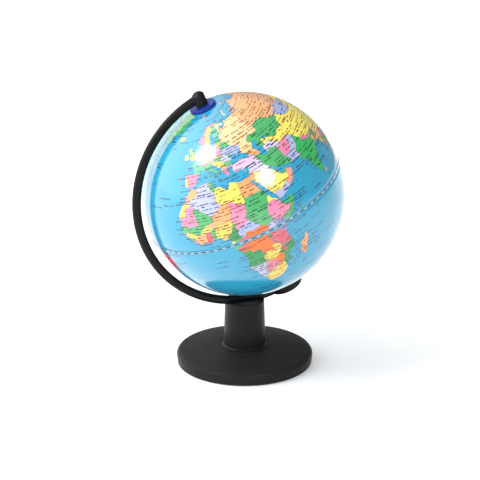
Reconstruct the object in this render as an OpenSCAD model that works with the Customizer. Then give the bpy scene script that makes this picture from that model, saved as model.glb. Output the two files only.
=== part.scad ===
// Desktop globe on a stand: a weighted round base and a short column carry a
// half-round arm, and the globe turns between two pivots at the arm's ends.
// Origin: centre of the resting face. The arm lies in the XZ plane, on the -X side,
// and the north end of the globe's axis leans towards -X.

/* [Globe] */
// Diameter of the printed globe
globe_d = 200; // [160:1:240]
// Height of the globe's centre above the table
globe_h = 175.9; // [150:0.1:230]
// Offset of the globe's centre from the base's centre, along X
globe_x = -1.2; // [-4:0.1:4]
// Tilt of the globe's axis from upright, in degrees
tilt = 24.5; // [20:0.5:27]
// Wall of the moulded half shells
shell_wall = 1.2; // [0.8:0.1:2]
// Thickness of the printed map skin
map_t = 0.25; // [0.15:0.05:0.4]
// Width of the printed tape along the equator
tape_w = 3.2; // [2:0.1:5]

/* [Pole fittings] */
// Radius of the blue pole caps
cap_r = 13.1; // [11:0.1:16]
// Height of a pole cap's face above the globe's surface
cap_h = 2.2; // [2:0.1:4]
// Radius of the pivot pins
pin_r = 2; // [1.5:0.1:2.6]
// Running clearance between pin and bush, on the radius
pin_clear = 0.05; // [0.02:0.01:0.1]
// Wall of the nylon bushes
bush_wall = 1.45; // [1:0.05:1.8]
// Depth that a pivot pin reaches below the globe's surface
pin_depth = 7; // [6:0.5:10]

/* [Arm] */
// Gap between the globe and the arm
arm_gap = 5.5; // [4.6:0.1:9]
// Thickness of the arm, measured outwards from the globe
arm_t = 8.8; // [7.6:0.1:12]
// Width of the arm, across the arm's plane
arm_w = 7; // [6:0.1:7.6]
// Radius of the round boss at the arm's north end
boss_r = 6.4; // [6.4:0.1:9]
// Radius of the round pad at the arm's south end
pad_r = 17.8; // [14:0.1:20]
// Thickness of the south pad
pad_t = 7.2; // [6.8:0.1:9]

/* [Column] */
// Radius of the column at its foot
column_foot_r = 21.1; // [20:0.1:26]
// Radius of the column at its top
column_top_r = 19.6; // [17:0.1:25]
// Wall of the column
column_wall = 2.6; // [2:0.1:3]
// Width of the thin flange beyond the fillet at the column's foot
flange_lip = 0.4; // [0.4:0.1:3]

/* [Base] */
// Diameter of the base
base_d = 136.4; // [112:0.1:166]
// Height of the base at its crown
base_h = 18.4; // [18:0.1:24]
// Radius of the sphere that shapes the base's crown
crown_r = 379; // [340:1:600]
// Radius of the rounded shoulder around the base
shoulder_r = 4.5; // [3.5:0.1:6]
// Wall of the base cover
cover_wall = 2.2; // [1.8:0.1:2.6]
// Inward draft of the skirt at its lower edge
skirt_draft = 0.8; // [0:0.1:1.2]
// Thickness of the steel ballast disc
ballast_t = 4.5; // [2:0.1:5]
// Thickness of the foam foot pad
foot_t = 1.5; // [1:0.1:2]

/* [Hidden] */

fine = 96;
tiny = 0.01;
// Gap between nested pieces that don't move against each other
fit_gap = 0.05;
// Gap between faces that turn past each other
run_gap = 0.2;
glue_gap = 0.05;
seat_gap = 0.15;
// Gap around a part dropped loosely in its place
loose_gap = 0.3;
// Gap past the tip of a screw or the end of a plug
tip_gap = 0.2;
// Reach of a cut past the face it cuts
over = 1;

// Globe
globe_r = globe_d / 2;
shell_r = globe_r - map_t - glue_gap;
shell_in_r = shell_r - shell_wall;
tape_t = 0.16;
ring_h = 12;
ring_t = 1.6;
ring_r = sqrt(shell_in_r * shell_in_r - ring_h * ring_h / 4) - fit_gap;

// Pole fittings: distances outwards from the globe's centre along the axis
bush_r = pin_r + pin_clear + bush_wall;
stem_in_r = bush_r + fit_gap;
stem_wall = 1.5;
stem_r = stem_in_r + stem_wall;
pole_hole_r = stem_r + fit_gap;
cap_face = globe_r + cap_h;
cap_round = 0.9;
cap_bed_r = globe_r + fit_gap;
cap_skirt = 2;
pin_tip_gap = 1;
stem_end = globe_r - pin_depth - pin_tip_gap;
bush_lip = 1.1;
bush_flange_r = bush_r + bush_lip;
bush_flange_t = 1;
flange_edge = 0.3;
retainer_t = 3;
retainer_w = 4;
retainer_r = stem_r + retainer_w;
retainer_top = sqrt(shell_in_r * shell_in_r - retainer_r * retainer_r) - fit_gap;
washer_t = 1.1;
washer_in = cap_face + run_gap;
washer_out = washer_in + washer_t;
washer_r = 6;
south_washer_r = 9;
// Pin heads and screw heads
head_r = 2 * pin_r;
head_t = 2.2;
sink_r = head_r + loose_gap;

// Arm
arm_in_r = globe_r + arm_gap;
arm_out_r = arm_in_r + arm_t;
arm_mid_r = arm_in_r + arm_t / 2;
boss_top = arm_out_r;
boss_round = 1.5;
boss_edge = 0.6;
north_sink = 3.4;
north_head = boss_top - north_sink;
pin_cap_inset = 0.9;
pin_cap_r = boss_r - pin_cap_inset;
pin_cap_h = 2.4;
pad_out_r = arm_in_r + pad_t;
pad_seat_r = south_washer_r + 1;
pad_edge = 3;
south_sink = 3.6;
south_head = pad_out_r - south_sink;

// Base
base_r = base_d / 2;
skirt_z = 0.8;
crown_z = base_h - crown_r;
shoulder_x = base_r - shoulder_r;
shoulder_z = crown_z + sqrt(pow(crown_r - shoulder_r, 2) - pow(shoulder_x, 2));
cavity_r = base_r - cover_wall - skirt_draft;
plate_t = 2;
plate_z = foot_t + glue_gap;
plate_top = plate_z + plate_t;
plate_gap = 0.4;
plate_r = cavity_r - plate_gap;
foot_inset = 2.4;
foot_r = plate_r - foot_inset;
post_n = 4;
post_r = 3.6;
post_inset = 5;
post_pcd = cavity_r - post_r - post_inset;
post_foot_h = 2.4;
post_z = plate_top + post_foot_h;
post_foot_wall = 0.6;
post_root = 0.3;
base_screw_r = 1.4;
base_head_r = 3;
base_head_t = 1.8;
base_thread = 4.4;
base_head_z = plate_z + base_head_t + loose_gap;
ballast_inset = 3.4;
ballast_r = post_pcd - post_r - ballast_inset;
ballast_hole_r = 12;
ballast_rib_t = 1.6;
ballast_rib_h = 2.4;

// Column
foot_fillet = 1.2;
flange_r = column_foot_r + foot_fillet + flange_lip;
seat_r = flange_r + loose_gap;
seat_depth = 0.2;
seat_z = crown_z + sqrt(crown_r * crown_r - seat_r * seat_r) - seat_depth;
seat_pad_t = 3;
seat_pad_z = seat_z - seat_pad_t;
column_top = globe_h - arm_mid_r;
column_roof = 9;
column_roof_z = column_top - column_roof;
flange_t = 1;
top_round = 1.2;
column_screw_n = 3;
column_screw_r = 1.5;
column_head_r = 3.1;
column_boss_r = 4.2;
column_boss_root = 0.6;
column_pcd = column_foot_r - column_wall - column_boss_r + column_boss_root;
column_boss_h = 12;
column_boss_cap = 2;
column_thread = column_boss_h - column_boss_cap;
column_boss_lift = 0.6;
arm_screw_x = 9;
arm_screw_r = 1.45;
arm_head_r = 2.9;
arm_thread = 2;
arm_screw_top = column_top + arm_thread;

black = [0.16, 0.16, 0.16];
blue = [0.17, 0.28, 0.6];
sea = [0.5, 0.8, 0.93];
steel = [0.72, 0.73, 0.75];
nylon = [0.93, 0.92, 0.88];

// Points along an arc, from angle a0 to a1
function arc(cx, cy, r, a0, a1, n = 8) =
    [for (i = [0 : n]) let (a = a0 + (a1 - a0) * i / n) [cx + r * cos(a), cy + r * sin(a)]];

// Places children in the globe's frame: +Z is the north end of the axis
module on_globe() {
    translate([globe_x, 0, globe_h])
        rotate([0, -tilt, 0])
            children();
}

// Turns a fitting made for the north pole over to the south pole
module south() {
    rotate([180, 0, 0])
        children();
}

module disc(r, z0, z1) {
    translate([0, 0, z0])
        cylinder(r = r, h = z1 - z0, $fn = fine);
}

module tube(r_out, r_in, z0, z1) {
    difference() {
        disc(r_out, z0, z1);
        disc(r_in, z0 - over, z1 + over);
    }
}

// A pan-head screw standing on the plane z, with its head below it
module screw(r, r_head, t_head, z, z_tip) {
    disc(r_head, z - t_head, z);
    disc(r, z - tiny, z_tip);
}

// Solid outline of the base, moved inwards by inset
module base_outline(inset, z_low) {
    r_dome = crown_r - inset;
    r_edge = shoulder_r - inset;
    x_blend = shoulder_x * r_dome / (crown_r - shoulder_r);
    polygon([
        [0, z_low],
        [base_r - inset - skirt_draft, z_low],
        [base_r - inset, shoulder_z],
        [0, shoulder_z]
    ]);
    translate([shoulder_x, shoulder_z])
        circle(r = r_edge, $fn = fine);
    intersection() {
        translate([0, crown_z])
            circle(r = r_dome, $fn = 4 * fine);
        translate([0, shoulder_z - tiny])
            square([x_blend, base_h]);
    }
}

module base_cover() {
    color(black)
        difference() {
            union() {
                difference() {
                    rotate_extrude($fn = fine)
                        base_outline(0, skirt_z);
                    rotate_extrude($fn = fine)
                        base_outline(cover_wall, -over);
                }
                disc(seat_r, seat_pad_z, seat_z + tiny);
                posts(post_r, post_z, post_roof());
            }
            disc(seat_r, seat_z, base_h + over);
            posts(base_screw_r, post_z - over, post_z + base_thread + tip_gap);
            column_places()
                disc(column_screw_r + loose_gap, seat_pad_z - over, seat_z + over);
        }
}

// Height of the cover's inner face above the screw posts, with a little overlap
function post_roof() =
    crown_z + sqrt(pow(crown_r - cover_wall, 2) - pow(post_pcd + post_r, 2)) + post_root;

module post_places() {
    for (i = [0 : post_n - 1])
        rotate([0, 0, 45 + 360 / post_n * i])
            translate([post_pcd, 0, 0])
                children();
}

module posts(r, z0, z1) {
    post_places()
        disc(r, z0, z1);
}

module base_plate() {
    color(black)
        difference() {
            union() {
                disc(plate_r, plate_z, plate_top);
                posts(post_r + post_foot_wall, plate_z, post_z);
                ballast_rib(ballast_r + loose_gap);
            }
            posts(base_screw_r + loose_gap, plate_z - over, post_z + over);
            posts(base_head_r + loose_gap, plate_z - over, base_head_z);
        }
}

// Rib around the ballast's place
module ballast_rib(r_in) {
    tube(r_in + ballast_rib_t, r_in, plate_top - tiny, plate_top + ballast_rib_h);
}

module ballast_disc() {
    color(steel)
        tube(ballast_r, ballast_hole_r, plate_top, plate_top + ballast_t);
}

module base_screws() {
    color(steel)
        post_places()
            screw(base_screw_r, base_head_r, base_head_t, base_head_z, post_z + base_thread);
}

module foot_pad() {
    color([0.1, 0.1, 0.1])
        disc(foot_r, 0, foot_t);
}

module column_places() {
    for (i = [0 : column_screw_n - 1])
        rotate([0, 0, 90 + 360 / column_screw_n * i])
            translate([column_pcd, 0, 0])
                children();
}

// Section of the column: flange, foot fillet, tapered wall and rounded top edge
function column_section() = concat(
    [[0, seat_z], [flange_r - flange_edge, seat_z], [flange_r, seat_z + flange_edge]],
    [[flange_r, seat_z + flange_t - flange_edge], [flange_r - flange_edge, seat_z + flange_t]],
    arc(column_foot_r + foot_fillet, seat_z + flange_t + foot_fillet, foot_fillet, 270, 180),
    arc(column_top_r - top_round, column_top - top_round, top_round, 0, 90),
    [[0, column_top]]
);

module column() {
    color(black)
        difference() {
            union() {
                difference() {
                    rotate_extrude($fn = fine)
                        polygon(column_section());
                    column_hollow();
                }
                column_places()
                    disc(column_boss_r, seat_z + column_boss_lift, seat_z + column_boss_h);
            }
            column_places()
                disc(column_screw_r, seat_z - over, seat_z + column_thread + tip_gap);
            arm_saddle();
            arm_screw_places()
                disc(arm_screw_r + loose_gap, column_roof_z - over, column_top + over);
        }
}

// Slot in the column's top with a round floor, in which the arm lies
module arm_saddle() {
    half = arm_w / 2 + seat_gap;
    translate([globe_x, half, globe_h])
        rotate([90, 0, 0])
            cylinder(r = arm_out_r + fit_gap, h = 2 * half, $fn = 2 * fine);
}

module column_hollow() {
    translate([0, 0, seat_z - over])
        cylinder(
            r1 = column_foot_r - column_wall,
            r2 = column_top_r - column_wall,
            h = column_roof_z - seat_z + over,
            $fn = fine
        );
}

module column_screws() {
    color(steel)
        column_places()
            screw(column_screw_r - fit_gap, column_head_r, head_t, seat_pad_z, seat_z + column_thread);
}

module arm_screw_places() {
    for (x = [-arm_screw_x, arm_screw_x])
        translate([x, 0, 0])
            children();
}

module arm_screws() {
    color(steel)
        arm_screw_places()
            screw(arm_screw_r, arm_head_r, head_t, column_roof_z, arm_screw_top);
}

// Oval section of the arm
module arm_section() {
    r = arm_w / 2;
    half = arm_t / 2 - r;
    for (side = [-1, 1])
        translate([arm_mid_r + side * half, 0])
            circle(r = r, $fn = fine);
    translate([arm_mid_r - half, -r])
        square([2 * half, 2 * r]);
}

// Half circle of the arm, about the globe's centre in the XZ plane
module arm_ring() {
    rotate([90, 0, 0])
        rotate([0, 0, 90])
            rotate_extrude(angle = 180, $fn = 2 * fine)
                arm_section();
}

// Boss at the north pivot, with a rounded top edge
module north_boss() {
    rotate_extrude($fn = fine)
        polygon(concat(
            [[0, washer_out], [boss_r - boss_edge, washer_out], [boss_r, washer_out + boss_edge]],
            arc(boss_r - boss_round, boss_top - boss_round, boss_round, 0, 90),
            [[0, boss_top]]
        ));
}

// Dished pad at the south pivot, made pointing north
module pad() {
    edge_x = pad_r - pad_edge;
    edge_z = sqrt(pow(pad_out_r - pad_edge, 2) - pow(edge_x, 2));
    rotate_extrude($fn = fine) {
        intersection() {
            difference() {
                circle(r = pad_out_r, $fn = 2 * fine);
                circle(r = arm_in_r, $fn = 2 * fine);
            }
            square([edge_x * pad_out_r / (pad_out_r - pad_edge), pad_out_r]);
        }
        difference() {
            union() {
                translate([edge_x, edge_z])
                    circle(r = pad_edge, $fn = fine);
                translate([edge_x, edge_z - pad_t])
                    square([pad_edge, pad_t]);
            }
            circle(r = arm_in_r, $fn = 2 * fine);
        }
        translate([0, washer_out])
            square([pad_seat_r, arm_mid_r - washer_out]);
    }
}

module meridian_arm() {
    color(black)
        difference() {
            on_globe() {
                arm_ring();
                north_boss();
                south()
                    pad();
            }
            on_globe() {
                disc(pin_r + fit_gap, washer_out - over, boss_top + over);
                disc(sink_r, north_head, boss_top + over);
                south() {
                    disc(pin_r + fit_gap, washer_out - over, pad_out_r + over);
                    disc(sink_r, south_head, pad_out_r + over);
                }
            }
            arm_screw_places()
                disc(arm_screw_r + fit_gap, column_top - arm_t, arm_screw_top + tip_gap);
        }
}

// Shoulder pin along the axis, with its head on the outer side
module pivot_pin(head_z) {
    disc(pin_r, globe_r - pin_depth, head_z + tiny);
    disc(head_r, head_z, head_z + head_t);
}

module north_pivot_pin() {
    color(steel)
        on_globe()
            pivot_pin(north_head);
}

module south_pivot_pin() {
    color(steel)
        on_globe()
            south()
                pivot_pin(south_head);
}

// Domed cap that plugs the north boss and hides the pin's head
module north_pin_cap() {
    dome_r = (pin_cap_r * pin_cap_r + pin_cap_h * pin_cap_h) / (2 * pin_cap_h);
    dome_a = asin(pin_cap_r / dome_r);
    plug_z = north_head + head_t + tip_gap;
    color(black)
        on_globe()
            rotate_extrude($fn = fine)
                polygon(concat(
                    [[0, plug_z], [sink_r - fit_gap, plug_z], [sink_r - fit_gap, boss_top]],
                    [[pin_cap_r, boss_top]],
                    arc(0, boss_top + pin_cap_h - dome_r, dome_r, 90 - dome_a, 90, 16)
                ));
}

// Flush plug over the south pin's head
module south_pin_plug() {
    color(black)
        on_globe()
            south()
                disc(sink_r - fit_gap, south_head + head_t + tip_gap, pad_out_r);
}

module north_thrust_washer() {
    color(nylon)
        on_globe()
            tube(washer_r, pin_r + fit_gap, washer_in, washer_out);
}

module south_thrust_washer() {
    color(nylon)
        on_globe()
            south()
                tube(south_washer_r, pin_r + fit_gap, washer_in, washer_out);
}

// Half of a hollow ball above z = 0, with a hole at its pole
module half_ball(r_out, r_in, r_hole) {
    difference() {
        sphere(r = r_out, $fn = 2 * fine);
        sphere(r = r_in, $fn = 2 * fine);
        disc(r_hole, 0, r_out + over);
        translate([0, 0, -r_out - over])
            cylinder(r = r_out + over, h = r_out + over, $fn = fine);
    }
}

module north_shell() {
    color(nylon)
        on_globe()
            half_ball(shell_r, shell_in_r, pole_hole_r);
}

module south_shell() {
    color(nylon)
        on_globe()
            south()
                half_ball(shell_r, shell_in_r, pole_hole_r);
}

module north_map() {
    color(sea)
        on_globe()
            half_ball(globe_r, globe_r - map_t, pole_hole_r);
}

module south_map() {
    color(sea)
        on_globe()
            south()
                half_ball(globe_r, globe_r - map_t, pole_hole_r);
}

module joining_ring() {
    color(nylon)
        on_globe()
            tube(ring_r, ring_r - ring_t, -ring_h / 2, ring_h / 2);
}

module equator_tape() {
    color([0.85, 0.8, 0.7])
        on_globe()
            tube(globe_r + glue_gap + tape_t, globe_r + glue_gap, -tape_w / 2, tape_w / 2);
}

// Round cap bedded on the globe, with a stem that passes through the shell
module pole_cap() {
    color(blue)
        difference() {
            rotate_extrude($fn = fine)
                polygon(concat(
                    [[0, stem_end], [stem_r, stem_end], [stem_r, cap_bed_r - cap_skirt]],
                    [[cap_r, cap_bed_r - cap_skirt]],
                    arc(cap_r - cap_round, cap_face - cap_round, cap_round, 0, 90, 6),
                    [[0, cap_face]]
                ));
            difference() {
                sphere(r = cap_bed_r, $fn = 2 * fine);
                disc(stem_r, stem_end - over, cap_bed_r + over);
            }
            disc(stem_in_r, stem_end - over, cap_face + over);
            disc(bush_flange_r + fit_gap, cap_face - bush_flange_t - fit_gap, cap_face + over);
        }
}

module north_pole_cap() {
    on_globe()
        pole_cap();
}

module south_pole_cap() {
    on_globe()
        south()
            pole_cap();
}

module bush() {
    color(nylon)
        difference() {
            union() {
                disc(bush_r, stem_end, cap_face);
                disc(bush_flange_r, cap_face - bush_flange_t, cap_face);
            }
            disc(pin_r + pin_clear, stem_end - over, cap_face + over);
        }
}

module north_bush() {
    on_globe()
        bush();
}

module south_bush() {
    on_globe()
        south()
            bush();
}

// Ring pressed on a cap's stem inside the shell
module retainer() {
    color(nylon)
        tube(retainer_r, stem_r + fit_gap, retainer_top - retainer_t, retainer_top);
}

module north_retainer() {
    on_globe()
        retainer();
}

module south_retainer() {
    on_globe()
        south()
            retainer();
}

base_cover();
base_plate();
ballast_disc();
base_screws();
foot_pad();
column();
column_screws();
meridian_arm();
arm_screws();
north_pivot_pin();
north_pin_cap();
north_thrust_washer();
south_pivot_pin();
south_pin_plug();
south_thrust_washer();
north_shell();
south_shell();
joining_ring();
north_map();
south_map();
equator_tape();
north_pole_cap();
south_pole_cap();
north_bush();
south_bush();
north_retainer();
south_retainer();
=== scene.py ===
"""Desktop globe on a stand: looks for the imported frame, in metres, +Z up."""

import math

import bmesh
import bpy
import numpy as np
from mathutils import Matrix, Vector, geometry


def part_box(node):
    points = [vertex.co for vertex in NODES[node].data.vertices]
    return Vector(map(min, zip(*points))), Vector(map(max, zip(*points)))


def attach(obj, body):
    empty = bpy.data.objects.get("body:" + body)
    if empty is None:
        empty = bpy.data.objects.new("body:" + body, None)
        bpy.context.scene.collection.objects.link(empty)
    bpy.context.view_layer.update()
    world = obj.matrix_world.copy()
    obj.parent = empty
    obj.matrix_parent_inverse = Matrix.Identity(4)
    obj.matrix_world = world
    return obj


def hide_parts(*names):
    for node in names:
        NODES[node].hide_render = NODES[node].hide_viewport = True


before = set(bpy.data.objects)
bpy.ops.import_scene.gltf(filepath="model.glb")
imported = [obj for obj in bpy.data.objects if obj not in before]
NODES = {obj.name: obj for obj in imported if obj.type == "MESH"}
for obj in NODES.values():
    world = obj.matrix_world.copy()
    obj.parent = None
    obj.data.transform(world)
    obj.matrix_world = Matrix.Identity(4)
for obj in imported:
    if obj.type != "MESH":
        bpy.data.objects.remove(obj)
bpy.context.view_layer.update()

# The globe's radius on the frame, and its centre and tilt as the part has them
GLOBE_R = (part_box("north_map")[1].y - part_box("north_map")[0].y) / 2
CENTRE = Vector((-0.0012, 0.0, 0.1759))
TILT = math.radians(24.5)
# Thickness of the printed paper, and radius of its hole around each pole cap's stem
MAP_T = 0.00025
HOLE_R = 0.0051
# Turn about the axis that faces the map's zero meridian to the right place, in degrees
LON_TURN = 231.1


def to_row(p):
    """A point in the globe's own frame, +Z its north end, in the row frame."""
    c, s = math.cos(TILT), math.sin(TILT)
    return CENTRE + Vector((c * p[0] - s * p[2], p[1], s * p[0] + c * p[2]))


def on_sphere(lon, lat, r):
    a, b = math.radians(lon + LON_TURN), math.radians(lat)
    return Vector((math.cos(b) * math.cos(a), math.cos(b) * math.sin(a), math.sin(b))) * r


def rgb(r, g, b):
    """A linear colour from 0 to 255 display values."""
    out = []
    for v in (r, g, b):
        v = v / 255
        out.append(v / 12.92 if v <= 0.04045 else ((v + 0.055) / 1.055) ** 2.4)
    return (*out, 1.0)


# ---------------------------------------------------------------- materials
def new_material(name, colour, roughness, **sockets):
    m = bpy.data.materials.new(name)
    m.use_nodes = True
    p = m.node_tree.nodes["Principled BSDF"]
    p.inputs["Base Color"].default_value = colour
    p.inputs["Roughness"].default_value = roughness
    for key, value in sockets.items():
        p.inputs[key.replace("_", " ")].default_value = value
    return m


def node(m, kind, **inputs):
    n = m.node_tree.nodes.new(kind)
    for key, value in inputs.items():
        n.inputs[key.replace("_", " ")].default_value = value
    return n


def link(m, a, out, b, into):
    m.node_tree.links.new(a.outputs[out], b.inputs[into])


def coords(m):
    return node(m, "ShaderNodeTexCoord")


def rough_noise(m, scale, low, high):
    """Roughness that varies between low and high over a noise of the given scale."""
    c = coords(m)
    n = node(m, "ShaderNodeTexNoise", Scale=scale, Detail=4.0, Roughness=0.55)
    link(m, c, "Object", n, "Vector")
    r = node(m, "ShaderNodeMapRange", From_Min=0.3, From_Max=0.7, To_Min=low, To_Max=high)
    link(m, n, "Fac", r, "Value")
    link(m, r, "Result", m.node_tree.nodes["Principled BSDF"], "Roughness")


def grain(m, scale, depth, strength=1.0, kind="ShaderNodeTexNoise"):
    """Fine surface relief, depth in metres."""
    c = coords(m)
    if kind == "ShaderNodeTexNoise":
        n = node(m, kind, Scale=scale, Detail=3.0, Roughness=0.6)
        out = "Fac"
    else:
        n = node(m, kind, Scale=scale)
        out = "Distance"
    link(m, c, "Object", n, "Vector")
    b = node(m, "ShaderNodeBump", Strength=strength, Distance=depth)
    link(m, n, out, b, "Height")
    link(m, b, "Normal", m.node_tree.nodes["Principled BSDF"], "Normal")


def moulded_plastic(name, colour, low, high, shine=0.5, depth=0.00004):
    m = new_material(name, colour, (low + high) / 2, IOR=1.5, Specular_IOR_Level=shine)
    rough_noise(m, 90.0, low, high)
    grain(m, 1400.0, depth, 0.35)
    return m


PLASTIC = moulded_plastic("black_plastic", (0.0065, 0.0065, 0.0065, 1), 0.32, 0.42, 0.2)
DOME_PLASTIC = moulded_plastic("black_base_plastic", (0.018, 0.018, 0.0174, 1), 0.34, 0.44, 0.06)
CAP_PLASTIC = moulded_plastic("blue_cap_plastic", rgb(24, 52, 144), 0.3, 0.4, 0.22)
NYLON = moulded_plastic("white_nylon", rgb(236, 234, 224), 0.42, 0.55)
BLACK_NYLON = moulded_plastic("black_nylon", (0.012, 0.012, 0.013, 1), 0.42, 0.55)
SHELL = moulded_plastic("shell_plastic", rgb(238, 236, 228), 0.45, 0.6)
FOAM = new_material("foot_foam", rgb(34, 34, 35), 0.95)
rough_noise(FOAM, 300.0, 0.85, 0.98)
grain(FOAM, 1600.0, 0.00025, 0.9, "ShaderNodeTexVoronoi")
STEEL = new_material("zinc_plated_steel", (0.6, 0.61, 0.63, 1), 0.3, Metallic=1.0)
rough_noise(STEEL, 260.0, 0.22, 0.42)
grain(STEEL, 900.0, 0.00003, 0.3)
BALLAST = new_material("raw_steel", (0.42, 0.42, 0.43, 1), 0.5, Metallic=1.0)
rough_noise(BALLAST, 60.0, 0.38, 0.62)
grain(BALLAST, 500.0, 0.00005, 0.4)

LOOKS = {
    PLASTIC: ["column", "meridian_arm", "north_pin_cap", "south_pin_plug"],
    DOME_PLASTIC: ["base_cover", "base_plate"],
    CAP_PLASTIC: ["north_pole_cap", "south_pole_cap"],
    NYLON: ["north_bush", "south_bush", "north_retainer", "south_retainer"],
    BLACK_NYLON: ["north_thrust_washer", "south_thrust_washer"],
    SHELL: ["north_shell", "south_shell", "joining_ring"],
    FOAM: ["foot_pad"],
    STEEL: [
        "base_screws", "column_screws", "arm_screws", "north_pivot_pin", "south_pivot_pin",
    ],
    BALLAST: ["ballast_disc"],
}
for look, names in LOOKS.items():
    for name in names:
        data = NODES[name].data
        data.materials.clear()
        data.materials.append(look)

# ---------------------------------------------------------------- the printed map
# Labels are brown on warm inks, dark green on green ones and slate blue on the rest
WARM_INKS = "yporslcnaez"
GREEN_INKS = "gtdhi"
INKS = {
    "sea": (44, 160, 198),
    "y": (252, 236, 104), "g": (78, 178, 108), "p": (234, 138, 174), "o": (248, 168, 108),
    "v": (182, 186, 226), "r": (224, 92, 112), "w": (214, 204, 230), "t": (92, 192, 152),
    "s": (245, 182, 128), "d": (28, 148, 72), "m": (152, 142, 194), "l": (250, 206, 150),
    "k": (236, 190, 222), "c": (244, 160, 140), "n": (240, 112, 14), "b": (166, 180, 226),
    "h": (206, 216, 96), "a": (240, 240, 236), "e": (216, 128, 150), "z": (236, 206, 80),
    "i": (46, 182, 96), "f": (184, 186, 208), "line": (48, 66, 104), "brown": (118, 62, 40),
    "moss": (16, 82, 44), "coast": (44, 120, 150), "border": (150, 88, 110),
    "grid": (70, 160, 212), "paper": (240, 238, 230),
}

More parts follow.
